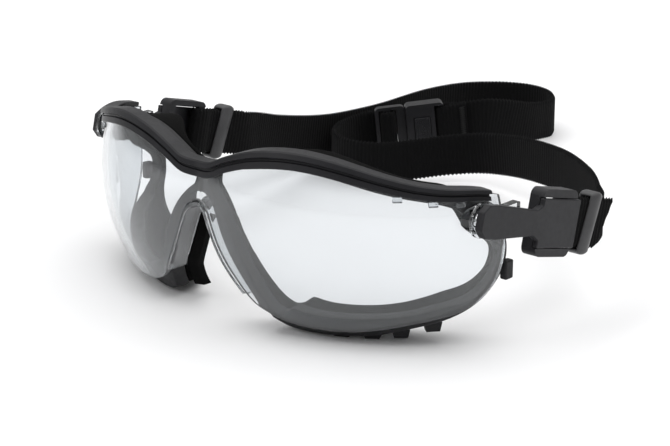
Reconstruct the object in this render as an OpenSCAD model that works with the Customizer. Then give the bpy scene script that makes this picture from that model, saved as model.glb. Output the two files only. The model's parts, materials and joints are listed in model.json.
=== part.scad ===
// Wraparound sports goggles: one clear lens with a brow bar, a foam-lined inner carriage,
// and an elastic strap on two swivelling clips, closed by a press-release buckle.
// Each outline is drawn in the wearer's frame: the origin is at the nose on the lens face,
// -Y is forwards, +X is the wearer's left and +Z is up. place() moves it to the part's frame.

/* [Lens] */
// Plan radius of the lens across each eye
front_r = 70; // [66:1:75]
// Plan radius of the lens where it turns to the temple
temple_r = 33; // [30:1:36]
// Angle that each half is turned back by at the nose
crease = 11; // [9:0.5:13]
// Heading, from straight across, at which the temple turn begins
turn_start = 53; // [50:1:56]
// Upright radius of the lens
rise_r = 57; // [50:1:70]
// Forward lean of the lens
lean = 4; // [2:0.5:6]
// Thickness of the lens
lens_t = 2; // [1.6:0.1:2.2]
// Distance round the lens from the nose to its rear end
lens_end = 99; // [96:0.5:99.5]

/* [Brow bar] */
// Height of the brow bar at its middle
bar_h = 4.8; // [4:0.2:6]
// How far the upper rib stands proud of the lens
rib_out = 2.2; // [1.6:0.2:2.8]

/* [Carriage] */
// Thickness of the carriage frame, front to back
carriage_t = 4.4; // [3.6:0.2:5]
// Thickness of the foam behind it
foam_t = 7; // [5:0.5:9]

/* [Strap] */
// Width of the webbing
web_w = 15.6; // [14:0.2:16]
// Thickness of the webbing
web_t = 1.5; // [1.2:0.1:1.6]
// Downward slope of the clips
clip_slope = 14; // [8:1:18]
// Radius of the swivel pin
pin_r = 3; // [2:0.5:3.5]
// Radial clearance of the swivel pin
pin_gap = 0.05; // [0.03:0.01:0.1]

/* [Buckle] */
// Height of the buckle
buckle_h = 18.2; // [17.8:0.2:19]
// Length that the plug's prong reaches into the socket
prong_l = 7; // [5:0.5:7.5]

/* [Hidden] */
$fn = 96;
gap = 0.05;
floor_h = 27.5;
mid_x = -3.7;
mid_y = 124.4;
deg = 180 / PI;
lens_mid_z = 2;
turn_1 = front_r * [sin(crease), cos(crease)];
turn_2 = turn_1 + (front_r - temple_r) * [sin(turn_start), -cos(turn_start)];
front_len = front_r * (crease + turn_start) / deg;
turn_len = temple_r * (90 - turn_start) / deg;
lens_x = turn_2.x + temple_r;
lens_depth = plan_at(lens_end).y;
carriage_front = -2.6;
carriage_back = carriage_front - carriage_t;
foam_front = carriage_back - 0.25;
pivot = [34, 12];
clip_in = 77;
clip_t = 2.4;
clip_out = clip_in + clip_t;
pin_out = clip_out - 0.8;

// ---- Curves ----------------------------------------------------------------------------

// A smooth curve through every point of p, with n steps between neighbours.
function bend(a, b, c, d, t) =
    0.5 * (2 * b + (c - a) * t + (2 * a - 5 * b + 4 * c - d) * t * t
        + (3 * b - a - 3 * c + d) * t * t * t);
function smooth(p, n = 4) =
    let (last = len(p) - 1)
    concat(
        [for (i = [0:last - 1]) for (k = [0:n - 1])
            bend(p[max(i - 1, 0)], p[i], p[i + 1], p[min(i + 2, last)], k / n)],
        [p[last]]
    );
function unit(v) = v / norm(v);
function along(p, i) = unit(p[min(i + 1, len(p) - 1)] - p[max(i - 1, 0)]);
function reversed(p) = [for (i = [len(p) - 1:-1:0]) p[i]];
function flipped(p) = [for (i = [len(p) - 1:-1:1]) [-p[i].x, p[i].y]];

// The flat path p moved d to its left, and the outline of a strip of thickness t along it.
function beside(p, i, d) = let (a = along(p, i)) p[i] + d * [-a.y, a.x];
function moved(p, d) = [for (i = [0:len(p) - 1]) beside(p, i, d)];
function strip(p, t) = concat(moved(p, t / 2), reversed(moved(p, -t / 2)));

// A solid through rings of points. Each ring goes up one side of a section and down the other.
module loft(rings, closed = false) {
    n = len(rings[0]);
    last = len(rings) - 1;
    sides = [for (i = [0:closed ? last : last - 1]) for (k = [0:n - 1])
        let (j = (i + 1) % (last + 1), m = (k + 1) % n)
        each [[n * i + k, n * i + m, n * j + m], [n * i + k, n * j + m, n * j + k]]];
    start_cap = [for (k = [0:n / 2 - 2]) [n - 1 - k, n - 2 - k, k + 1, k]];
    end_cap = [for (k = [0:n / 2 - 2]) n * last * [1, 1, 1, 1] + [k, k + 1, n - 2 - k, n - 1 - k]];
    polyhedron([for (r = rings) each r], closed ? sides : concat(sides, start_cap, end_cap), convexity = 8);
}

// The four corners of a strap's section at step i of the route p.
function strap_ring(p, i) =
    let (
        d = along(p, i),
        up = unit([0, 0, 1] - d.z * d),
        out = cross(d, up)
    )
    [for (c = [[1, -1], [1, 1], [-1, 1], [-1, -1]])
        p[i] + c.x * web_t / 2 * out + c.y * web_w / 2 * up];
module strap_along(p) { loft([for (i = [0:len(p) - 1]) strap_ring(p, i)]); }

// ---- The lens's surface ------------------------------------------------------------------
// A point on it is given by s, the distance round from the nose, by its height z, and by its
// distance off the lens's face, outwards positive.

function heading(s) = s < front_len ? s / front_r * deg - crease
    : min(90, turn_start + (s - front_len) / temple_r * deg);
function facing(h) = [sin(h), -cos(h)];
function plan_at(s) = s < front_len ? turn_1 + front_r * facing(heading(s))
    : turn_2 + temple_r * facing(heading(s)) + [0, max(0, s - front_len - turn_len)];
function on_shell(s, z, off) =
    let (
        a = abs(s),
        reach = sqrt(pow(rise_r + off, 2) - pow(z - lens_mid_z, 2)) - rise_r,
        p = plan_at(a) + reach * facing(max(0, heading(a)))
    )
    [sign(s) * p.x, p.y - tan(lean) * z, z];
// A section's ring from its rows, each [s, z, back, front].
function section(rows) = concat(
    [for (r = rows) on_shell(r[0], r[1], r[3])],
    [for (r = reversed(rows)) on_shell(r[0], r[1], r[2])]
);

// ---- Frames ----------------------------------------------------------------------------

module place() { translate([-mid_x, -mid_y, floor_h]) children(); }
module side(s) { if (s < 0) mirror([1, 0, 0]) children(); else children(); }
// Extrudes a side outline, drawn as (y, z), across x from a to b.
module side_cut(a, b) {
    translate([a, 0, 0]) rotate([90, 0, 90]) linear_extrude(b - a) children();
}

// ---- Outlines on the lens's surface, left half, as (s, z) --------------------------------

// Lower edge of the lens from the crown of the nose to its rear end.
lens_low = smooth([[0, 9.8], [2.2, 9.2], [4.6, 7], [6.6, 2.4], [8.8, -2.6], [11.6, -7.6],
    [14.6, -12.2], [17.4, -16.4], [21, -19.4], [30, -22.6], [40, -23.5], [50, -23.3], [60, -21.9],
    [70, -19.7], [80, -17.7], [88, -15], [94, -10.4], [97.5, -5], [lens_end, 2]], 3);
// Lower edge of the brow bar, and the bar's height along it.
bar_low = smooth([[0, 17], [6, 17.6], [11, 20], [20, 22.9], [30, 24.3], [40, 24.2], [50, 22.7],
    [60, 20.6], [70, 18.5], [80, 17.2], [90, 16.6], [102, 14.2]], 3);
bar_taper = 0.34;
function bar_height(s) = bar_h * (1 - bar_taper * max(0, min(45, s - 50)) / 45);
function bar_line(s, part) = lookup(abs(s), bar_low) + part * bar_height(abs(s));

// Half of the nose cut-out, from its crown downwards, and the whole of it from side to side.
nose_side = smooth([[0, 8.2], [2.8, 6.8], [5, 2.4], [7.2, -2.6], [10, -7.9], [13.1, -12.7], [15.4, -15.9]], 3);
nose_line = concat(flipped(nose_side), nose_side);

// The carriage round the left eye, from the foot of the nose up and over to the temple and
// back: each entry is an outer point and the inner point that faces it.
eye_nose = [[18.8, -18.8, 22.3, -18.4], [16.4, -13.8, 20, -13.5], [12.9, -7.6, 17, -6.6],
    [9.7, -1.4, 13.8, -0.2], [7.4, 4.4, 10.8, 5.6], [5.6, 9, 7.8, 9.8], [2.8, 11.4, 4.6, 12.8],
    [0, 12, 3, 13.9]];
eye_rest = smooth([[0, bar_line(0, 0.45), 2.6, 15.6], [3, bar_line(3, 0.45), 3.6, 17.2],
    [6.5, bar_line(6.5, 0.45), 6.8, 18.6], [12, bar_line(12, 0.45), 12, 20.2],
    [20, bar_line(20, 0.45), 20.4, 21.8], [30, bar_line(30, 0.45), 30, 22.9],
    [40, bar_line(40, 0.45), 40, 22.8], [50, bar_line(50, 0.45), 49.8, 21.2],
    [60, bar_line(60, 0.45), 59.5, 18.9], [70, bar_line(70, 0.45), 69, 17],
    [80, bar_line(80, 0.45), 77.6, 15.6], [89, bar_line(89, 0.45), 83.6, 13.8], [95.5, 15, 87, 11.6], [100, 12, 89, 9],
    [101.8, 8, 91.5, 5.2], [102.8, 3.6, 98.6, 1.8], [103.5, -1, 101.3, -1.5], [102.4, -6.8, 100.2, -6.6],
    [97.8, -12.4, 94.4, -11.4], [90.4, -17.2, 86.6, -13.8], [80, -20.6, 78.5, -15], [70, -22.8, 69.5, -17],
    [60, -25.2, 60, -18.2], [50, -26.4, 50, -18.7], [40, -26.8, 40.5, -18.7],
    [33.5, -26.7, 34.5, -17.9], [29.6, -26.5, 31.6, -17.4], [25.6, -25.8, 28.4, -19.7],
    [21, -23.8, 25, -20.4]], 2);
eye_ring = concat(eye_nose, eye_rest);
// The same ring with its outer edge moved in by the share a, and its inner edge by the share b.
function narrowed(ring, a, b) = [for (q = ring) let (o = [q[0], q[1]], i = [q[2], q[3]])
    concat(o + a * (i - o), i + b * (o - i))];
module eye_loft(ring, back, front) {
    loft([for (q = ring) section([[q[2], q[3], back, front], [q[0], q[1], back, front]])], closed = true);
}
// A band along a line, from the distance a to the distance b beside it.
module line_loft(p, a, b, back, front) {
    low = moved(p, a);
    high = moved(p, b);
    loft([for (i = [0:len(p) - 1])
        section([[low[i].x, low[i].y, back, front], [high[i].x, high[i].y, back, front]])]);
}

// ---- Lens and what is moulded on it -----------------------------------------------------

lens_rows = 8;
module lens() place() color([0.86, 0.92, 0.95, 0.35])
    loft([for (q = concat(flipped(lens_low), lens_low)) section([for (k = [0:lens_rows])
        [q.x, q.y + (bar_line(q.x, 0.55) - q.y) * k / lens_rows, -lens_t, 0]])]);

// A ledge round the nose that reaches back from the lens.
flange_w = 1.25;
module nose_flange() place() color([0.86, 0.92, 0.95, 0.35])
    line_loft(nose_line, 0, flange_w, carriage_back + 0.3, 0.3);

// Small raised lugs on the lens under the brow bar.
lug_at = [66, 76, 84];
lug_w = 2.8;
module lens_lugs() place() color([0.86, 0.92, 0.95, 0.35]) for (s = [-1, 1]) side(s) for (a = lug_at)
    loft([for (e = [-1, 1]) section([for (part = [-0.45, -0.1])
        [a + e * lug_w / 2, bar_line(a, part), gap, 0.9]])]);

// A clear block on each temple that carries the swivel boss.
boss_r = 5;
block_out = clip_in - 0.7;
boss_out = clip_in - 0.3;
bore_end = 74.5;
tab_in = 73.7;
block_gap = 0.25;
block_low = smooth([[83.5, 10.5], [86, 8], [90, 6.6], [94, 7], [lens_end, 8]], 2);
block_high = smooth([[83.5, 12.5], [86, 14.6], [90, 15.5], [94, 15], [lens_end, 13.4]], 2);
function outer_face(q) = let (p = on_shell(q.x, q.y, 0)) [block_out, p.y, p.z];
module temple_block(s) place() color([0.86, 0.92, 0.95, 0.35]) side(s) difference() {
    union() {
        loft([for (i = [0:len(block_low) - 1]) [
            outer_face(block_low[i]), outer_face(block_high[i]),
            on_shell(block_high[i].x, block_high[i].y, block_gap),
            on_shell(block_low[i].x, block_low[i].y, block_gap)
        ]]);
        side_cut(tab_in, block_out) translate([lens_depth + 0.1, 8.2]) square([5.4, 5.2]);
        side_cut(lens_x - 0.1, block_out) translate([lens_depth - 4, 8.2]) square([5, 5.2]);
        side_cut(block_out - 0.6, boss_out) translate(pivot) circle(boss_r);
    }
    side_cut(bore_end, clip_in) translate(pivot) circle(pin_r + pin_gap);
}
module temple_block_left() { temple_block(1); }
module temple_block_right() { temple_block(-1); }

// The brow bar: a thin lip below, a groove, and a proud rib with a flat top that caps the
// lens's upper edge. Each row is [part of its height, back, front].
bar_end = 97;
bar_rows = [[0, gap, 1.1], [0.06, gap, 1.3], [0.38, gap, 1.3], [0.42, gap, 0.8], [0.57, gap, 0.8],
    [0.575, -2.2, 0.8], [0.62, -2.2, rib_out - 0.3], [0.66, -2.2, rib_out], [0.93, -2.2, rib_out],
    [1, -1.9, rib_out - 0.4]];
bar_stations = concat([for (s = [bar_end:-4:26]) -s], [for (s = [-24:2:24]) s], [for (s = [26:4:bar_end]) s]);
module brow_bar() place() color([0.1, 0.1, 0.11])
    loft([for (s = bar_stations) section([for (r = bar_rows) [s, bar_line(s, r[0]), r[1], r[2]]])]);

// ---- Carriage ---------------------------------------------------------------------------

module carriage_frame() place() color([0.12, 0.12, 0.13])
    for (s = [-1, 1]) side(s) eye_loft(eye_ring, carriage_back, carriage_front);
// A small bridge piece over the nose, above the foam legs.
foam_leg_top = 3;
module nose_piece() place() color([0.08, 0.08, 0.09])
    line_loft([for (q = nose_line) if (q.y > foam_leg_top) q], -0.6, 1.9, foam_front - 2.6, foam_front);
// Hooks that spring out behind the lens's rear edge.
module side_hook(s) place() color([0.12, 0.12, 0.13]) side(s)
    side_cut(73.4, 75.8) translate([lens_depth + 0.6, -8.9]) square([3.4, 5.6]);
module side_hook_left() { side_hook(1); }
module side_hook_right() { side_hook(-1); }
// Feet under the carriage, between which air passes, each [s, top, bottom].
feet = [[45, -26.95, -floor_h], [56, -26.25, -floor_h], [66, -24.6, -26.9], [77, -22, -24.8]];
foot_w = 4;
foot_t = 2.6;
module vent_feet(s) place() color([0.12, 0.12, 0.13]) side(s)
    for (f = feet) let (p = on_shell(f[0], f[2], (carriage_back + carriage_front) / 2))
        translate(p) rotate([0, 0, heading(f[0])]) rotate([90, 0, 0]) linear_extrude(foot_t, center = true)
            hull() {
                translate([-foot_w / 2, 0]) square([foot_w, 0.1]);
                translate([-foot_w / 2 - 0.6, f[1] - f[2] - 0.1]) square([foot_w + 1.2, 0.1]);
            }
module vent_feet_left() { vent_feet(1); }
module vent_feet_right() { vent_feet(-1); }

// Foam behind the carriage that seals to the face, one pad round each eye. It thins out to
// the nose and to the temple.
foam_nose = [14, 32];
foam_thin = [86, 100];
foam_least = 1.4;
function foam_back(s) = foam_front - foam_least - (foam_t - foam_least)
    * max(0, min(1, (s - foam_nose[0]) / (foam_nose[1] - foam_nose[0]),
        (foam_thin[1] - s) / (foam_thin[1] - foam_thin[0])));
module foam(s) place() color([0.05, 0.05, 0.05]) side(s)
    loft([for (q = narrowed(eye_ring, 0.14, 0.1)) section([
        [q[2], q[3], foam_back(q[2]), foam_front], [q[0], q[1], foam_back(q[0]), foam_front]
    ])], closed = true);
module foam_left() { foam(1); }
module foam_right() { foam(-1); }
// Foam legs down both sides of the nose, between it and the pads. Each row of a leg's section
// is [share of the room beside the nose, back, front].
foam_leg = concat([for (q = nose_side) if (q.y < foam_leg_top) q], [[16.8, -18.8], [18, -21.6], [19, -24.2]]);
foam_leg_rows = [[-1.5, -11.6, -9.2], [0.3, -11.4, -7.8], [0.85, -11, -7.4]];
function leg_room(z) = max(0.3, min(3, 0.3 + 0.24 * (z + 17)));
module nose_foam(s) place() color([0.05, 0.05, 0.05]) side(s)
    loft([for (i = [0:len(foam_leg) - 1]) section([for (r = foam_leg_rows)
        let (q = beside(foam_leg, i, r[0] * (r[0] > 0 ? leg_room(foam_leg[i].y) : 1)))
        [q.x, q.y, r[1], r[2]]])]);
module nose_foam_left() { nose_foam(1); }
module nose_foam_right() { nose_foam(-1); }

// ---- Clips, keepers and webbing ends -----------------------------------------------------

// The clip's own frame: the pin at the origin, t to the rear down the slope, n up across it.
module tilted() { translate([0, pivot.x, pivot.y]) rotate([-clip_slope, 0, 0]) children(); }
module clip_cut(a, b) { tilted() side_cut(a, b) children(); }

panel_start = 24;
panel_end = 42.5;
panel_h = 14.2;
panel_in = clip_out - 1.6;
module clip(s) place() color([0.1, 0.1, 0.11]) side(s) difference() {
    union() {
        clip_cut(clip_in, clip_out) polygon([[-3.6, -2.6], [-1.2, -4.7], [4, -4.8], [21.5, -3.7],
            [panel_start, -5], [panel_start, 5], [21.5, 3.7], [4, 4.8], [-1.2, 4.7], [-3.6, 2.6]]);
        clip_cut(panel_in, clip_out) translate([panel_start, -panel_h / 2])
            square([panel_end - panel_start, panel_h]);
    }
    clip_cut(clip_in - 1, pin_out + gap) circle(pin_r + gap);
}
module clip_left() { clip(1); }
module clip_right() { clip(-1); }

// The frame under the clip's panel, open to the rear, with the bar that the webbing goes round.
frame_in = 74;
frame_t = [24.2, 41.2];
frame_h = 19.6;
frame_corner = 2.4;
bar_t = [38.2, 41];
bar_x = [74.3, 75.6];
module clip_frame(s) place() color([0.09, 0.09, 0.1]) side(s) tilted() {
    difference() {
        side_cut(frame_in, clip_out - 0.5) hull()
            for (t = [frame_t[0] + frame_corner, frame_t[1] - frame_corner]) for (n = [-1, 1])
                translate([t, n * (frame_h / 2 - frame_corner)]) circle(frame_corner, $fn = 32);
        side_cut(frame_in - 1, panel_in - 0.1) translate([27, -web_w / 2 - 0.3]) square([30, web_w + 0.6]);
        side_cut(panel_in - 0.2, clip_out + 1) translate([20, -panel_h / 2 - 0.3]) square([30, panel_h + 0.6]);
    }
    side_cut(bar_x[0], bar_x[1]) translate([bar_t[0], -web_w / 2 - 0.6])
        square([bar_t[1] - bar_t[0], web_w + 1.2]);
}
module clip_frame_left() { clip_frame(1); }
module clip_frame_right() { clip_frame(-1); }

// A pin that is set in a blind hole in the clip's arm and turns in the boss.
pin_in = bore_end + 0.2;
module pivot_pin(s) place() color([0.1, 0.1, 0.11]) side(s) tilted() rotate([0, 90, 0])
    translate([0, 0, pin_in]) cylinder(h = pin_out - pin_in, r = pin_r);
module pivot_pin_left() { pivot_pin(1); }
module pivot_pin_right() { pivot_pin(-1); }

// The webbing's path round the clip's bar, as (t, x), ending in the free tail. The tail on the
// wearer's left is the shorter, and both are cut slantwise.
run_x = 75.3;
loop_end = 46.5;
lay_in = bar_x[0] - 0.15 - web_t / 2;
lay_out = bar_x[1] + 0.15 + web_t / 2;
lap = web_t + 0.15;
tail_turn = [[loop_end, run_x], [44.5, run_x - 0.3], [42, lay_in + 0.4], [39.5, lay_in],
    [37.1, lay_in + 0.4], [36.4, (lay_in + lay_out) / 2], [37.1, lay_out - 0.4], [39.5, lay_out],
    [42, lay_out + 0.1], [45, run_x + lap], [54, run_x + lap]];
tail_short = 59.4;
tail_long = 60;
tail_cut = 3.3;
module tail(s) place() color([0.07, 0.07, 0.07]) side(s) tilted() intersection() {
    translate([0, 0, -web_w / 2]) linear_extrude(web_w)
        polygon(strip([for (q = smooth(concat(tail_turn, [[66, run_x + lap + 0.2]]), 3))
            [q.y, q.x]], web_t));
    side_cut(frame_in - 4, clip_out + 4) let (end = s > 0 ? tail_short : tail_long)
        polygon([[30, -9], [end - tail_cut, -9], [end + tail_cut, 9], [30, 9]]);
}
module tail_left() { tail(1); }
module tail_right() { tail(-1); }

// A ring that holds the tail against the strap.
keeper_at = 48;
keeper_w = 5.5;
keeper_play = 0.15;
keeper_wall = 1.1;
keeper_in = [web_t + lap + 2 * keeper_play, web_w + 2 * keeper_play];
module keeper(s) place() color([0.13, 0.13, 0.14]) side(s) tilted()
    translate([run_x + lap / 2, keeper_at + keeper_w, 0]) rotate([90, 0, 0]) linear_extrude(keeper_w)
        difference() {
            hull() for (i = [-1, 1]) for (k = [-1, 1])
                translate([i * keeper_in.x / 2, k * keeper_in.y / 2]) circle(keeper_wall, $fn = 32);
            square(keeper_in, center = true);
        }
module keeper_left() { keeper(1); }
module keeper_right() { keeper(-1); }

// ---- Strap runs ---------------------------------------------------------------------------

function clip_point(t, s) =
    [s * run_x, pivot.x + t * cos(clip_slope), pivot.y - t * sin(clip_slope)];
floor_lay = web_w / 2 - floor_h;
buckle_at = [-68.2, 174.8, -16];
buckle_turn = 46;
buckle_tilt = 6;
socket_end = 24;
plug_end = -13.5;
main_lay = 2.5;
function buckle_point(u, v = 0) = buckle_at + [
    u * cos(buckle_turn) * cos(buckle_tilt) - v * sin(buckle_turn),
    u * sin(buckle_turn) * cos(buckle_tilt) + v * cos(buckle_turn), u * sin(buckle_tilt)];

// From the clip on the wearer's right, back along the far side to the right-hand fold.
far_route = concat([for (t = [loop_end + gap, 54, 64]) clip_point(t, -1)],
    [[-77.6, 104.4, -5.7], [-80.4, 116, -9.2], [-82.4, 130, -12.5], [-83.8, 143, -15], [-84.7, 157, -16.6],
     [-85.3, 179, -17.6], [-86.8, 203, -17.7], [-87.1, 218, -18.2], [-85.6, 231, -18.9], [-81, 241, -19.5],
     [-73.5, 247.4, floor_lay], [-65, 249.5, floor_lay], [-56.4, 247.6, floor_lay],
     [-49, 242, floor_lay], [-44.4, 235, -19.5], [-43.2, 228, -18.9]]);
module strap_far() place() color([0.07, 0.07, 0.07]) strap_along(smooth(far_route, 4));

// The ends of two lengths that meet stand a little apart.
meet = 0.35;
// From the fold to the buckle's socket.
mid_route = [far_route[len(far_route) - 1] + [0.05, -meet, 0], [-42.7, 220.5, -18], [-43.3, 212.6, -16.3],
    [-44.9, 204.8, -14.3], [-47.6, 197.4, -13], buckle_point(socket_end + meet)];
module strap_mid() place() color([0.07, 0.07, 0.07]) strap_along(smooth(mid_route, 4));

// From the plug, round the left-hand fold and along the near side to the wearer's left clip.
near_route = concat([buckle_point(plug_end - meet, main_lay)],
    [[-81.7, 162.6, -17.95], [-81.6, 155.5, -18.3], [-79.4, 148, -18.4], [-75, 141.4, -18.4],
     [-67.5, 136.4, -18.5], [-58.5, 135.6, -18.6], [-49.5, 140, -18.5], [-42, 149.6, -17.8],
     [-34.5, 158.4, -16.8], [-25, 163.4, -15.4], [-14.5, 163, -13.8], [-2.5, 158.8, -11.7],
     [10, 152.6, -9.7], [22.5, 145.5, -8], [34.5, 136.8, -6.4], [46, 127, -5.1], [57, 116, -3.7],
     [66.2, 105, -2.8], [71.8, 98.6, -2.3], [74.6, 92.8, -2]],
    [for (t = [56.5, 51.5, loop_end + gap]) clip_point(t, 1)]);
module strap_near() place() color([0.07, 0.07, 0.07]) strap_along(smooth(near_route, 4));

// ---- Buckle -------------------------------------------------------------------------------

// The buckle's own frame: u along the strap towards the socket, v to the rear, w up.
module buckled() { translate(buckle_at) rotate([0, -buckle_tilt, buckle_turn]) children(); }
module block(u, v, w) { translate([u[0], v[0], -w / 2]) cube([u[1] - u[0], v[1] - v[0], w]); }
module rounded(u, v, w, r) {
    translate([0, v[1], 0]) rotate([90, 0, 0]) linear_extrude(v[1] - v[0])
        hull() for (a = [u[0] + r, u[1] - r]) for (b = [-1, 1])
            translate([a, b * (w / 2 - r)]) circle(r, $fn = 32);
}
module web_strip(path) {
    translate([0, 0, -web_w / 2]) linear_extrude(web_w) polygon(strip(smooth(path, 3), web_t));
}
slot_h = web_w + 0.3;
corner = 1.8;

socket_l = 14.6;
socket_v = [-3.2, 3.2];
socket_slot = [10.9, 12.9];
socket_bar = [-1.5, 1.5];
cavity_v = [-1.5, 1.2];
cavity_w = 11.6;
window_u = [2.8, 9.2];
window_w = 8.4;
module buckle_socket() place() color([0.1, 0.1, 0.11]) buckled() difference() {
    rounded([gap, socket_l], socket_v, buckle_h, corner);
    block([-1, prong_l + 1], cavity_v, cavity_w);
    block(window_u, [socket_v[0] - 1, 0], window_w);
    block(socket_slot, [-6, 6], slot_h);
    block([socket_slot[0], 30], [-6, socket_bar[0]], slot_h);
    block([socket_slot[0], 30], [socket_bar[1], 6], slot_h);
}
// The webbing's sewn end round the socket's bar, as (u, v).
socket_lay = socket_bar[1] + 0.15 + web_t / 2;
socket_loop_path = [[socket_end, 0], [20, 0.1], [17, 1.2], [15.2, socket_lay - 0.05],
    [13.6, socket_lay + 0.1], [12.35, 2.3], [11.9, 1.3], [11.85, 0], [11.9, -1.3], [12.35, -2.3],
    [13.6, -socket_lay - 0.1], [15.2, -socket_lay], [17.5, -lap - 0.4], [20, -lap], [23, -lap]];
module socket_loop() place() color([0.07, 0.07, 0.07]) buckled() web_strip(socket_loop_path);
// The thread of the seam that closes that loop.
seam_u = [20.4, 22.2];
thread_t = 0.3;
module stitch_bar() place() color([0.12, 0.12, 0.12]) buckled() for (u = seam_u)
    block([u - 0.35, u + 0.35], [-lap - web_t / 2 - 0.03 - thread_t, -lap - web_t / 2 - 0.03], web_w - 3);

prong_v = [-0.5, 0.9];
plug_v = [-1.6, 1.6];
plug_l = 11.4;
outer_slot = [-10, -7.8];
inner_slot = [-5.6, -3.4];
module buckle_plug() place() color([0.1, 0.1, 0.11]) buckled() {
    difference() {
        rounded([-plug_l, -gap], plug_v, buckle_h, corner);
        block(outer_slot, [-6, 6], slot_h);
        block(inner_slot, [-6, 6], slot_h);
    }
    block([-1, prong_l], prong_v, cavity_w - 0.4);
}
// The webbing that is threaded through the plug's two slots, as (u, v).
wrap_lay = plug_v[1] + 0.15 + web_t / 2;
plug_wrap_path = [[plug_end, main_lay], [-9.5, main_lay], [-6.6, main_lay], [-5.2, 2.5], [-4.4, 1.7],
    [-4.4, -1.7], [-5.2, -wrap_lay], [-6.6, -wrap_lay - 0.05], [-8, -wrap_lay], [-8.9, -1.7], [-8.9, 0.5]];
module plug_wrap() place() color([0.07, 0.07, 0.07]) buckled() web_strip(plug_wrap_path);

// The pad that is pressed to free the plug.
pad_play = 0.2;
pad_back = cavity_v[0] - 0.2;
module release_pad() place() color([0.12, 0.12, 0.13]) buckled()
    block([window_u[0] + pad_play, window_u[1] - pad_play], [socket_v[0] - 0.4, pad_back],
        window_w - 2 * pad_play);

// ---- Nodes --------------------------------------------------------------------------------

lens();
nose_flange();
lens_lugs();
temple_block_left();
temple_block_right();
brow_bar();
carriage_frame();
nose_piece();
side_hook_left();
side_hook_right();
vent_feet_left();
vent_feet_right();
foam_left();
foam_right();
nose_foam_left();
nose_foam_right();
clip_left();
clip_right();
clip_frame_left();
clip_frame_right();
pivot_pin_left();
pivot_pin_right();
tail_left();
tail_right();
keeper_left();
keeper_right();
strap_far();
strap_mid();
strap_near();
buckle_socket();
socket_loop();
stitch_bar();
buckle_plug();
plug_wrap();
release_pad();
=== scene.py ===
import json
import math

import bmesh
import bpy
import numpy as np
from mathutils import Matrix, Vector


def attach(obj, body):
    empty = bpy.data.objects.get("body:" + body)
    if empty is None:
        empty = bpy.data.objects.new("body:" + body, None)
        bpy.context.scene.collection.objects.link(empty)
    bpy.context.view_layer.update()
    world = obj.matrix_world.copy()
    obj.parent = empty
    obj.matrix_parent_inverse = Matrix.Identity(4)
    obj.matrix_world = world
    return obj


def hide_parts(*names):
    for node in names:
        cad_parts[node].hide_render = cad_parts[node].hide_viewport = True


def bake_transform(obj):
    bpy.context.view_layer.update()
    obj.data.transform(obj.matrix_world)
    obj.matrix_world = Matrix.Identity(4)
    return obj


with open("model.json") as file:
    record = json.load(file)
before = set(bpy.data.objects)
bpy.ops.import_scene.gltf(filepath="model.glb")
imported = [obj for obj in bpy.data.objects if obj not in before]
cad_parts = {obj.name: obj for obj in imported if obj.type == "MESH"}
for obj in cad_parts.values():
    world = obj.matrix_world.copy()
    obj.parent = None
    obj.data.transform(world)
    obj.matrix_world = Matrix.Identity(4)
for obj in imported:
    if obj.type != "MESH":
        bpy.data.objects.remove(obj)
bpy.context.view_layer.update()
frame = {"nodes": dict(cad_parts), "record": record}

MM = 0.001
# from the wearer's frame, whose origin is at the nose on the lens, to the part's frame
WEARER = np.array([3.7, -124.4, 27.5])
CLIP_SLOPE = math.radians(14)
PIVOT = np.array([0.0, 34.0, 12.0])
CLIP_ALONG = np.array([0.0, math.cos(CLIP_SLOPE), -math.sin(CLIP_SLOPE)])
CLIP_UP = np.array([0.0, math.sin(CLIP_SLOPE), math.cos(CLIP_SLOPE)])
BUCKLE_TURN, BUCKLE_TILT = math.radians(46), math.radians(6)
BUCKLE_AT = np.array([-68.2, 174.8, -16.0])
BUCKLE_U = np.array([
    math.cos(BUCKLE_TURN) * math.cos(BUCKLE_TILT),
    math.sin(BUCKLE_TURN) * math.cos(BUCKLE_TILT),
    math.sin(BUCKLE_TILT),
])
BUCKLE_V = np.array([-math.sin(BUCKLE_TURN), math.cos(BUCKLE_TURN), 0.0])
BUCKLE_W = np.cross(BUCKLE_U, BUCKLE_V)
WEB_W, WEB_T = 15.6, 1.5


# ---- Materials ---------------------------------------------------------------------------

FINISH = "_finish"
# spacing of the webbing's warp cords and cross picks, in metres
CORD_PITCH, PICK_PITCH = 0.00062, 0.00065


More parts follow.
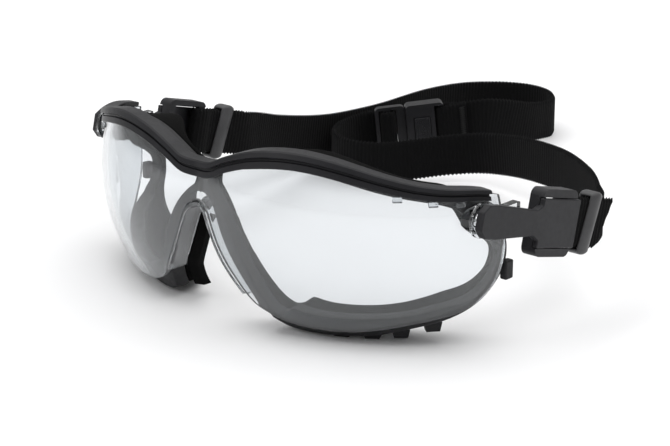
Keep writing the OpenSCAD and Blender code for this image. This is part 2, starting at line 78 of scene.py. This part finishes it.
class Surface:
    """A Principled material with helpers for its procedural detail."""

    def __init__(self, name):
        self.material = bpy.data.materials.new(name + FINISH)
        self.material.use_nodes = True
        self.tree = self.material.node_tree
        self.shader = self.tree.nodes["Principled BSDF"]
        self.place = self.node("ShaderNodeTexCoord").outputs["Object"]

    def node(self, kind, **values):
        n = self.tree.nodes.new(kind)
        for key, value in values.items():
            if key in n.inputs:
                n.inputs[key].default_value = value
            else:
                setattr(n, key, value)
        return n

    def link(self, a, b):
        self.tree.links.new(a, b)

    def set(self, **values):
        for key, value in values.items():
            self.shader.inputs[key.replace("_", " ")].default_value = value

    def noise(self, scale, detail=3.0, rough=0.55):
        n = self.node("ShaderNodeTexNoise", Scale=scale, Detail=detail, Roughness=rough)
        self.link(self.place, n.inputs["Vector"])
        return n.outputs["Fac"]

    def ramp(self, value, stops):
        n = self.node("ShaderNodeValToRGB")
        while len(n.color_ramp.elements) < len(stops):
            n.color_ramp.elements.new(0.5)
        for e, (at, colour) in zip(n.color_ramp.elements, stops):
            e.position = at
            e.color = (*colour, 1)
        self.link(value, n.inputs["Fac"])
        return n.outputs["Color"]

    def spread(self, value, low, high, start=0.3, end=0.7):
        n = self.node("ShaderNodeMapRange")
        n.inputs["From Min"].default_value = start
        n.inputs["From Max"].default_value = end
        n.inputs["To Min"].default_value = low
        n.inputs["To Max"].default_value = high
        self.link(value, n.inputs["Value"])
        return n.outputs["Result"]

    def mixed(self, factor, a, b):
        n = self.node("ShaderNodeMix", data_type="RGBA")
        for value, socket in ((factor, n.inputs["Factor"]), (a, n.inputs["A"]), (b, n.inputs["B"])):
            if isinstance(value, bpy.types.NodeSocket):
                self.link(value, socket)
            else:
                socket.default_value = value
        return n.outputs["Result"]

    def maths(self, how, a, b=0.0):
        n = self.node("ShaderNodeMath", operation=how)
        for value, socket in ((a, n.inputs[0]), (b, n.inputs[1])):
            if isinstance(value, bpy.types.NodeSocket):
                self.link(value, socket)
            else:
                socket.default_value = value
        return n.outputs["Value"]

    def bump(self, height, distance, strength=1.0, under=None):
        n = self.node("ShaderNodeBump", Strength=strength, Distance=distance)
        self.link(height, n.inputs["Height"])
        if under is not None:
            self.link(under, n.inputs["Normal"])
        return n.outputs["Normal"]

    def finish(self, colour=None, rough=None, normal=None):
        for value, name in ((colour, "Base Color"), (rough, "Roughness"), (normal, "Normal")):
            if value is not None:
                self.link(value, self.shader.inputs[name])
        return self.material


def scaled(colour, share):
    return tuple(c * share for c in colour)


def moulded(name, colour, rough, grain=0.5, wear=1.9):
    """Moulded plastic: fine spark-eroded grain, slow tone changes and edges rubbed paler."""
    s = Surface(name)
    s.set(Specular_IOR_Level=0.2)
    tone = s.ramp(s.noise(120, 4), [(0.3, scaled(colour, 0.82)), (0.7, scaled(colour, 1.18))])
    edge = s.node("ShaderNodeNewGeometry").outputs["Pointiness"]
    rubbed = s.maths("MULTIPLY", s.spread(edge, 0, 1, 0.52, 0.6), s.spread(s.noise(400, 5), 0.15, 0.8))
    colour_out = s.mixed(rubbed, tone, (*scaled(colour, wear), 1))
    rough_out = s.spread(s.noise(700, 6, 0.7), rough - 0.06, rough + 0.08)
    fine = s.bump(s.noise(5200, 2), 0.00003 * grain, 0.6)
    return s.finish(colour_out, rough_out, s.bump(s.noise(160, 2), 0.0001, 0.12, fine))


def elastomer(name, colour, rough):
    """Matt rubbery moulding, with a dusty tone and a soft orange-peel surface."""
    s = Surface(name)
    s.set(Specular_IOR_Level=0.3)
    tone = s.ramp(s.noise(90, 5), [(0.28, scaled(colour, 0.8)), (0.72, scaled(colour, 1.25))])
    dust = s.spread(s.noise(2600, 3, 0.8), 0, 0.35, 0.62, 0.8)
    colour_out = s.mixed(dust, tone, (*scaled(colour, 2.2), 1))
    rough_out = s.spread(s.noise(900, 4), rough - 0.05, rough + 0.1)
    return s.finish(colour_out, rough_out, s.bump(s.noise(2400, 3), 0.00004, 0.5))


def clear(name, tint, rough, clarity):
    """Polished clear polycarbonate with a faint haze and moulding ripple."""
    s = Surface(name)
    s.set(Transmission_Weight=clarity, IOR=1.5)
    tone = s.ramp(s.noise(30, 2), [(0.3, scaled(tint, 0.992)), (0.7, tint)])
    rough_out = s.spread(s.noise(260, 4), rough * 0.5, rough * 1.5)
    return s.finish(tone, rough_out, s.bump(s.noise(36, 1), 0.0002, 0.04))


def flocked(name, colour):
    """Open flock on foam: short fibres that catch the light at the rim."""
    s = Surface(name)
    s.set(Sheen_Weight=0.015, Sheen_Roughness=0.45, Specular_IOR_Level=0.04)
    fibre = s.noise(3800, 6, 0.85)
    tone = s.ramp(fibre, [(0.3, scaled(colour, 0.45)), (0.6, colour), (0.78, scaled(colour, 3.0))])
    cells = s.node("ShaderNodeTexVoronoi", Scale=1500)
    s.link(s.place, cells.inputs["Vector"])
    low = s.bump(cells.outputs["Distance"], 0.0002, 0.45)
    return s.finish(tone, s.spread(fibre, 0.85, 1.0), s.bump(fibre, 0.00025, 0.7, low))


def woven(name, colour):
    """Knitted elastic: warp cords along it, ribs across it and loose fuzz, laid out on its UVs in metres."""
    s = Surface(name)
    s.set(Sheen_Weight=0.025, Sheen_Roughness=0.5, Specular_IOR_Level=0.08)
    uv = s.node("ShaderNodeUVMap", uv_map="weave").outputs["UV"]
    parts = s.node("ShaderNodeSeparateXYZ")
    s.link(uv, parts.inputs["Vector"])
    cords = s.maths("SINE", s.maths("MULTIPLY", parts.outputs["Y"], 2 * math.pi / CORD_PITCH))
    picks = s.maths("SINE", s.maths("MULTIPLY", parts.outputs["X"], 2 * math.pi / PICK_PITCH))
    threads = s.maths("MULTIPLY", cords, picks)
    fuzz = s.noise(3400, 6, 0.8)
    lint = s.noise(9000, 3, 0.75)
    tone = s.ramp(fuzz, [(0.32, scaled(colour, 0.55)), (0.58, colour), (0.8, scaled(colour, 2.6))])
    flecks = s.mixed(s.spread(lint, 0, 0.5, 0.66, 0.8), tone, (*scaled(colour, 5.0), 1))
    weave = s.bump(threads, 0.00009, 0.7)
    return s.finish(flecks, s.spread(fuzz, 0.82, 1.0), s.bump(fuzz, 0.00022, 0.6, weave))


def paper_floor():
    s = Surface("studio_floor")
    s.set(Specular_IOR_Level=0.1)
    tone = s.ramp(s.noise(2, 3), [(0.3, (0.93, 0.93, 0.935)), (0.7, (0.95, 0.95, 0.955))])
    return s.finish(tone, s.spread(s.noise(40, 2), 0.85, 0.95))


LENS = clear("clear_lens", (0.8, 0.825, 0.845), 0.012, 0.96)
BLOCK = clear("clear_block", (0.93, 0.945, 0.955), 0.04, 1.0)
SATIN = moulded("satin_black", (0.014, 0.014, 0.016), 0.4)
SOFT = elastomer("soft_black", (0.012, 0.012, 0.0135), 0.55)
CLIP = moulded("clip_black", (0.018, 0.018, 0.02), 0.44)
BUCKLE = moulded("buckle_black", (0.011, 0.011, 0.0125), 0.38)
KEEPER = moulded("keeper_grey", (0.065, 0.065, 0.067), 0.34, wear=1.4)
FOAM = flocked("foam", (0.005, 0.005, 0.005))
WEBBING = woven("webbing", (0.0045, 0.0045, 0.0048))
THREAD = elastomer("thread", (0.006, 0.006, 0.0065), 0.7)


# ---- Meshes ------------------------------------------------------------------------------


def add(name, mesh, material, body, *nodes):
    """Puts a mesh into the scene as a piece that rides on body and stands for the CAD nodes."""
    o = bpy.data.objects.new(name, mesh)
    bpy.context.scene.collection.objects.link(o)
    mesh.materials.clear()
    mesh.materials.append(material)
    mesh.shade_smooth()
    if body:
        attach(o, body)
    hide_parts(*nodes)
    return o


def closed_mesh(name, verts, faces):
    """A mesh, in metres, whose normals all point outwards."""
    mesh = bpy.data.meshes.new(name)
    mesh.from_pydata(verts, [], faces)
    bm = bmesh.new()
    bm.from_mesh(mesh)
    bmesh.ops.recalc_face_normals(bm, faces=bm.faces)
    bm.to_mesh(mesh)
    bm.free()
    return mesh


def body_of(node):
    return next(b for b, members in frame["record"]["behaviour"]["bodies"].items() if node in members)


def refined(node, material, edge, levels=0, segments=3, angle=28, quads=False):
    """A finished copy of a CAD node: its edges rounded to the radius edge, in mm, and its curves smoothed."""
    mesh = frame["nodes"][node].data.copy()
    bm = bmesh.new()
    bm.from_mesh(mesh)
    bmesh.ops.remove_doubles(bm, verts=bm.verts, dist=2e-6)
    if quads:
        bmesh.ops.join_triangles(
            bm, faces=bm.faces, angle_face_threshold=math.radians(45), angle_shape_threshold=math.radians(170)
        )
    else:
        bmesh.ops.dissolve_limit(bm, angle_limit=math.radians(0.6), verts=bm.verts, edges=bm.edges)
    bmesh.ops.recalc_face_normals(bm, faces=bm.faces)
    bm.to_mesh(mesh)
    bm.free()
    o = add(node + "_finished", mesh, material, body_of(node), node)
    bevel = o.modifiers.new("edges", "BEVEL")
    bevel.width = edge * MM
    bevel.segments = segments
    bevel.limit_method = "ANGLE"
    bevel.angle_limit = math.radians(angle)
    bevel.miter_outer = "MITER_ARC"
    if levels:
        subdivision = o.modifiers.new("curves", "SUBSURF")
        subdivision.levels = subdivision.render_levels = levels
    else:
        o.modifiers.new("shading", "WEIGHTED_NORMAL").keep_sharp = True
    return o


def smooth(points, steps=24):
    """The curve that the CAD routes follow through points, as an array."""
    p = np.array(points, float)
    out = []
    for i in range(len(p) - 1):
        a, b, c, d = p[max(i - 1, 0)], p[i], p[i + 1], p[min(i + 2, len(p) - 1)]
        for k in range(steps):
            t = k / steps
            bend, twist = 2 * a - 5 * b + 4 * c - d, 3 * b - a - 3 * c + d
            out.append(0.5 * (2 * b + (c - a) * t + bend * t**2 + twist * t**3))
    return np.array([*out, p[-1]])


def evenly(points, step):
    """points resampled at equal distances of about step, with those distances."""
    gaps = np.linalg.norm(np.diff(points, axis=0), axis=1)
    run = np.concatenate([[0], np.cumsum(gaps)])
    at = np.linspace(0, run[-1], max(2, round(run[-1] / step) + 1))
    return np.column_stack([np.interp(at, run, points[:, k]) for k in range(3)]), at


# distance between ribs, depth of the loops along the edges, and how far those stay inside the width
RIB, SCALLOP, SELVEDGE = 1.45, 0.5, 0.1
# how much thinner the webbing is between its ribs, as a share, and the spread of its loops in mm
RIB_DEPTH, LOOP_SPREAD = 0.22, 0.035
RIB_STEPS = 5
WEB_COLUMNS = 13


def webbing(name, route, body, nodes, up=None, cut=None):
    """Ribbed elastic along route, in mm in the wearer's frame. up fixes the direction of its width.
    cut is a plane (point, normal) that its far end is trimmed to."""
    line, at = evenly(smooth(route), RIB / RIB_STEPS)
    step = np.arange(len(line))
    ahead = line[np.minimum(step + 2, len(line) - 1)] - line[np.maximum(step - 2, 0)]
    ahead /= np.linalg.norm(ahead, axis=1)[:, None]
    if up is None:
        across = np.array([0.0, 0.0, 1.0]) - ahead[:, 2:3] * ahead
        across /= np.linalg.norm(across, axis=1)[:, None]
    else:
        across = np.tile(up, (len(line), 1))
    out = np.cross(ahead, across)
    ridge = 0.5 + 0.5 * np.cos(2 * math.pi * at / RIB)
    loops = 0.5 + 0.5 * np.cos(2 * math.pi * at / RIB + math.pi / 2)
    uneven = np.random.default_rng(7).normal(0, LOOP_SPREAD, (2, len(at)))
    edge_r = 0.42 * WEB_T
    share = np.linspace(-1, 1, WEB_COLUMNS)
    share = np.sign(share) * np.abs(share) ** 0.8
    verts, marks = [], []
    for face in (1, -1):
        for q in share[:: face]:
            wave = ridge if q > 0 else loops
            half = WEB_W / 2 - SELVEDGE - SCALLOP * (1 - wave) - np.abs(uneven[0 if q > 0 else 1])
            a = q * half
            inset = np.clip((np.abs(a) - (half - edge_r)) / edge_r, 0, 1)
            rounded = np.sqrt(np.maximum(0.02, 1 - inset**2))
            thick = (WEB_T / 2 - 0.02) * rounded * (1 - RIB_DEPTH + RIB_DEPTH * ridge)
            verts.append(line + across * a[:, None] + out * (face * thick)[:, None])
            marks.append(a)
    ring = len(verts)
    grid = (np.stack(verts, axis=1) + WEARER) * MM
    n = len(line)
    i, k = np.meshgrid(np.arange(n - 1), np.arange(ring), indexing="ij")
    nxt = (k + 1) % ring
    here, further = i * ring, (i + 1) * ring
    quads = np.stack([here + k, here + nxt, further + nxt, further + k], -1).reshape(-1, 4)
    caps = [list(range(ring - 1, -1, -1)), [(n - 1) * ring + c for c in range(ring)]]
    mesh = bpy.data.meshes.new(name)
    mesh.from_pydata(grid.reshape(-1, 3).tolist(), [], quads[:, ::-1].tolist() + [c[::-1] for c in caps])
    uv = mesh.uv_layers.new(name="weave")
    along = np.repeat(at, ring) * MM
    wide = np.stack(marks, axis=1).reshape(-1) * MM
    corner = np.zeros(len(mesh.loops), int)
    mesh.loops.foreach_get("vertex_index", corner)
    uv.data.foreach_set("uv", np.column_stack([along[corner], wide[corner]]).ravel())
    if cut:
        bm = bmesh.new()
        bm.from_mesh(mesh)
        cut_made = bmesh.ops.bisect_plane(
            bm, geom=bm.verts[:] + bm.edges[:] + bm.faces[:], plane_co=Vector((cut[0] + WEARER) * MM),
            plane_no=Vector(cut[1]), clear_outer=True,
        )
        rim = [e for e in cut_made["geom_cut"] if isinstance(e, bmesh.types.BMEdge)]
        bmesh.ops.contextual_create(bm, geom=rim)
        bm.to_mesh(mesh)
        bm.free()
    o = add(name, mesh, WEBBING, body, *nodes)
    return o, float(at[-1]) * MM


def clip_point(t, side, x=75.3):
    return (PIVOT + t * CLIP_ALONG) * [0, 1, 1] + np.array([side * x, 0, 0])


def buckle_point(u, v=0.0, w=0.0):
    return BUCKLE_AT + u * BUCKLE_U + v * BUCKLE_V + w * BUCKLE_W


# ---- Front and carriage ------------------------------------------------------------------

refined("lens", LENS, 0.3, levels=1, segments=2, quads=True)
refined("nose_flange", LENS, 0.45, levels=1, segments=2, quads=True)
refined("lens_lugs", LENS, 0.25)
for side in ("left", "right"):
    refined("temple_block_" + side, BLOCK, 0.5)
refined("brow_bar", SATIN, 0.22, levels=1, segments=2, quads=True, angle=24)
refined("carriage_frame", SOFT, 0.8, levels=1, segments=3, quads=True, angle=35)
refined("nose_piece", SOFT, 0.5, levels=1, segments=2, quads=True, angle=35)
for side in ("left", "right"):
    refined("side_hook_" + side, SOFT, 0.5)
    refined("vent_feet_" + side, SOFT, 0.45)
    for node, edge in (("foam_", 1.6), ("nose_foam_", 0.9)):
        pad = refined(node + side, FOAM, edge, levels=1, segments=3, quads=True, angle=35)

# ---- Clips and keepers -------------------------------------------------------------------

for side in ("left", "right"):
    refined("clip_" + side, CLIP, 0.5)
    refined("clip_frame_" + side, CLIP, 0.6)
    refined("pivot_pin_" + side, CLIP, 0.25)

KEEPER_T, KEEPER_W = 48.0, 5.5
KEEPER_X, KEEPER_HALF = 76.125, (1.725, 7.95)
KEEPER_LEAN = 0.16
# thickness of the ring at its rims and how much thicker it is at its middle
KEEPER_RIM, KEEPER_BOW = 0.4, 1.05


def corner_arcs(half, inset, radius, steps=6):
    """The outline of a rectangle with round corners, whose arcs are centred inset inside its corners."""
    out = []
    for quarter, (sx, sy) in enumerate(((1, 1), (-1, 1), (-1, -1), (1, -1))):
        for k in range(steps + 1):
            a = math.radians(90 * (quarter + k / steps))
            centre = sx * (half[0] - inset), sy * (half[1] - inset)
            out.append((centre[0] + radius * math.cos(a), centre[1] + radius * math.sin(a)))
    return out


def keeper_ring(side, sign, stations=14):
    """A soft ring that bulges outwards and leans back over the tail."""
    loops = []
    for j in range(stations + 1):
        x = j / stations
        wall = KEEPER_RIM + KEEPER_BOW * math.sin(math.pi * x) ** 0.75
        loops.append((x, corner_arcs(KEEPER_HALF, 0, wall)))
    loops += [(x, corner_arcs(KEEPER_HALF, 0.25, 0.25)) for x, _ in reversed(loops)]
    verts = []
    for x, outline in loops:
        for across, height in outline:
            t = KEEPER_T + KEEPER_W * x + KEEPER_LEAN * height
            at = PIVOT + t * CLIP_ALONG + height * CLIP_UP + np.array([sign * (KEEPER_X + across), 0, 0])
            verts.append(tuple((at + WEARER) * MM))
    ring, count = len(loops[0][1]), len(loops)
    faces = []
    for i in range(count):
        here, further = i * ring, (i + 1) % count * ring
        for k in range(ring):
            nxt = (k + 1) % ring
            faces.append((here + k, here + nxt, further + nxt, further + k))
    mesh = closed_mesh("keeper_ring_" + side, verts, faces)
    return add("keeper_ring_" + side, mesh, KEEPER, "keeper_" + side, "keeper_" + side)


keeper_ring("left", 1)
keeper_ring("right", -1)

# ---- Webbing -----------------------------------------------------------------------------

far_route = [
    *(clip_point(t, -1) for t in (46.55, 54, 64)),
    [-77.6, 104.4, -5.7], [-80.4, 116, -9.2], [-82.4, 130, -12.5], [-83.8, 143, -15], [-84.7, 157, -16.6],
    [-85.3, 179, -17.6], [-86.8, 203, -17.7], [-87.1, 218, -18.2], [-85.6, 231, -18.9], [-81, 241, -19.5],
    [-73.5, 247.4, -19.7], [-65, 249.5, -19.7], [-56.4, 247.6, -19.7], [-49, 242, -19.7],
    [-44.4, 235, -19.5], [-43.2, 228, -18.9],
]
mid_route = [
    far_route[-1], [-42.7, 220.5, -18], [-43.3, 212.6, -16.3], [-44.9, 204.8, -14.3],
    [-47.6, 197.4, -13], buckle_point(24),
]
near_route = [
    buckle_point(-13.5, 2.5), [-81.7, 162.6, -17.95], [-81.6, 155.5, -18.3], [-79.4, 148, -18.4],
    [-75, 141.4, -18.4], [-67.5, 136.4, -18.5], [-58.5, 135.6, -18.6], [-49.5, 140, -18.5],
    [-42, 149.6, -17.8], [-34.5, 158.4, -16.8], [-25, 163.4, -15.4], [-14.5, 163, -13.8],
    [-2.5, 158.8, -11.7], [10, 152.6, -9.7], [22.5, 145.5, -8], [34.5, 136.8, -6.4], [46, 127, -5.1],
    [57, 116, -3.7], [66.2, 105, -2.8], [71.8, 98.6, -2.3], [74.6, 92.8, -2],
    *(clip_point(t, 1) for t in (56.5, 51.5, 46.55)),
]
far, far_length = webbing("webbing_far", far_route, "strap", ["strap_far"])
near, near_length = webbing("webbing_near", near_route, "strap", ["strap_near"])
mid, mid_length = webbing("webbing_mid", mid_route, None, ["strap_mid"])
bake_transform(mid)

RUN_X, LAP = 75.3, 1.65
LAY_IN, LAY_OUT = 73.4, 76.5
tail_turn = [
    (46.5, RUN_X), (44.5, RUN_X - 0.3), (42, LAY_IN + 0.4), (39.5, LAY_IN), (37.1, LAY_IN + 0.4),
    (36.4, (LAY_IN + LAY_OUT) / 2), (37.1, LAY_OUT - 0.4), (39.5, LAY_OUT), (42, LAY_OUT + 0.1),
    (45, RUN_X + LAP), (54, RUN_X + LAP), (63, RUN_X + LAP + 0.15),
]
SLANT = math.atan(3.3 / 9)
for side, sign, end in (("left", 1, 59.4), ("right", -1, 60.0)):
    tail, tail_length = webbing(
        "webbing_tail_" + side, [clip_point(t, sign, x) for t, x in tail_turn], "strap", ["tail_" + side],
        up=CLIP_UP, cut=(clip_point(end, sign), CLIP_ALONG * math.cos(SLANT) - CLIP_UP * math.sin(SLANT)),
    )

SOCKET_LAY, WRAP_LAY = 2.4, 2.5
loop_path = [
    (24, 0), (20, 0.1), (17, 1.2), (15.2, SOCKET_LAY - 0.05), (13.6, SOCKET_LAY + 0.1), (12.35, 2.3),
    (11.9, 1.3), (11.85, 0), (11.9, -1.3), (12.35, -2.3), (13.6, -SOCKET_LAY - 0.1), (15.2, -SOCKET_LAY),
    (17.5, -LAP - 0.4), (20, -LAP), (23, -LAP),
]
wrap_path = [
    (-13.5, 2.5), (-9.5, 2.5), (-6.6, 2.5), (-5.2, 2.5), (-4.4, 1.7), (-4.4, -1.7), (-5.2, -WRAP_LAY),
    (-6.6, -WRAP_LAY - 0.05), (-8, -WRAP_LAY), (-8.9, -1.7), (-8.9, 0.5),
]
for name, path, body, node, held_by in (
    ("webbing_socket_loop", loop_path, "buckle", "socket_loop", "buckle_socket_finished"),
    ("webbing_plug_wrap", wrap_path, "strap", "plug_wrap", "buckle_plug_finished"),
):
    wrap, wrap_length = webbing(name, [buckle_point(u, v) for u, v in path], body, [node], up=BUCKLE_W)

# ---- Buckle ------------------------------------------------------------------------------

refined("buckle_socket", BUCKLE, 0.45)
refined("buckle_plug", BUCKLE, 0.4)
refined("release_pad", BUCKLE, 0.3)


def solid(name, pieces, material, body, *nodes):
    """One mesh from several closed ones, each (vertices in mm in the wearer's frame, faces)."""
    verts, faces = [], []
    for points, sides in pieces:
        faces += [tuple(len(verts) + k for k in side) for side in sides]
        verts += [tuple((np.array(p) + WEARER) * MM) for p in points]
    return add(name, closed_mesh(name, verts, faces), material, body, *nodes)


# the grip on the release pad: rows of small points over its face, at v = PAD_FACE
PAD_U, PAD_W, PAD_FACE, GRIP = (3.2, 8.8), (-3.8, 3.8), -3.58, 0.8
grip = []
for i in range(round((PAD_U[1] - PAD_U[0]) / GRIP)):
    for k in range(round((PAD_W[1] - PAD_W[0]) / GRIP)):
        u, w = PAD_U[0] + (i + 0.5) * GRIP, PAD_W[0] + (k + 0.5 + 0.5 * (i % 2)) * GRIP
        if w > PAD_W[1] - 0.3:
            continue
        base = [buckle_point(u + a * GRIP * 0.5, PAD_FACE + 0.05, w + b * GRIP * 0.5)
                for a, b in ((1, 0), (0, 1), (-1, 0), (0, -1))]
        grip.append(([*base, buckle_point(u, PAD_FACE - 0.4, w)],
                     [(3, 2, 1, 0), (0, 1, 4), (1, 2, 4), (2, 3, 4), (3, 0, 4)]))
solid("release_pad_grip", grip, BUCKLE, "release")

# the bar tack that closes the socket's loop: threads laid back and forth between two rows
SEAM_U, SEAM_V, SEAM_W, STITCH = (20.2, 22.4), -2.52, 6.4, 0.42
THREAD_SIDES = 6
stitches = []
for i in range(round(2 * SEAM_W / STITCH)):
    w = -SEAM_W + i * STITCH
    u_from, u_to = SEAM_U if i % 2 else reversed(SEAM_U)
    rings = []
    for share, radius in ((0, 0.06), (0.15, 0.17), (0.5, 0.2), (0.85, 0.17), (1, 0.06)):
        u, w_at = u_from + share * (u_to - u_from), w + share * STITCH
        rings += [
            buckle_point(u, SEAM_V + radius * math.cos(a), w_at + radius * math.sin(a))
            for a in (2 * math.pi * q / THREAD_SIDES for q in range(THREAD_SIDES))
        ]
    last = len(rings) - THREAD_SIDES
    sides = []
    for r in range(0, last, THREAD_SIDES):
        for q in range(THREAD_SIDES):
            nxt = (q + 1) % THREAD_SIDES
            sides.append((r + q, r + nxt, r + THREAD_SIDES + nxt, r + THREAD_SIDES + q))
    ends = [tuple(range(THREAD_SIDES - 1, -1, -1)), tuple(range(last, last + THREAD_SIDES))]
    stitches.append((rings, [*sides, *ends]))
solid("bar_tack", stitches, THREAD, "buckle", "stitch_bar")

# ---- Studio ------------------------------------------------------------------------------

FLOOR_HALF = 4
floor_mesh = bpy.data.meshes.new("studio_floor")
corners = [(x * FLOOR_HALF, y * FLOOR_HALF, 0) for x, y in ((-1, -1), (1, -1), (1, 1), (-1, 1))]
floor_mesh.from_pydata(corners, [], [(0, 1, 2, 3)])
floor_mesh.materials.append(paper_floor())
floor = bpy.data.objects.new("studio_floor", floor_mesh)
bpy.context.scene.collection.objects.link(floor)

world = bpy.data.worlds.new("studio")
bpy.context.scene.world = world
world.use_nodes = True
world.node_tree.nodes["Background"].inputs["Color"].default_value = (1, 1, 1, 1)
world.node_tree.nodes["Background"].inputs["Strength"].default_value = 0.46


def softbox(name, at, target, size, power):
    light = bpy.data.lights.new(name, "AREA")
    light.shape = "RECTANGLE"
    light.size, light.size_y = size
    light.energy = power
    o = bpy.data.objects.new(name, light)
    o.location = at
    o.rotation_euler = (Vector(target) - Vector(at)).to_track_quat("-Z", "Y").to_euler()
    bpy.context.scene.collection.objects.link(o)


softbox("top_box", (0.0, 0.1, 1.2), (0, 0, 0), (2.2, 2.2), 22)
softbox("front_box", (-0.35, -0.9, 0.6), (0, -0.1, 0.03), (0.4, 0.3), 1.6)

camera_data = bpy.data.cameras.new("camera")
camera_data.lens = 102.95
camera_data.sensor_width = 36
camera_data.clip_start, camera_data.clip_end = 0.02, 20
camera = bpy.data.objects.new("camera", camera_data)
turn, drop = math.radians(42), math.radians(17.9)
right = Vector((math.cos(turn), math.sin(turn), 0))
ahead = Vector((-math.sin(turn) * math.cos(drop), math.cos(turn) * math.cos(drop), -math.sin(drop)))
seat = Vector((0.3832, -0.4870, 0.1995))
aim = Matrix((right, right.cross(ahead), -ahead)).transposed().to_4x4()
camera.matrix_world = Matrix.Translation(seat) @ aim
bpy.context.scene.collection.objects.link(camera)
bpy.context.scene.camera = camera
bpy.context.scene.view_settings.view_transform = "Standard"
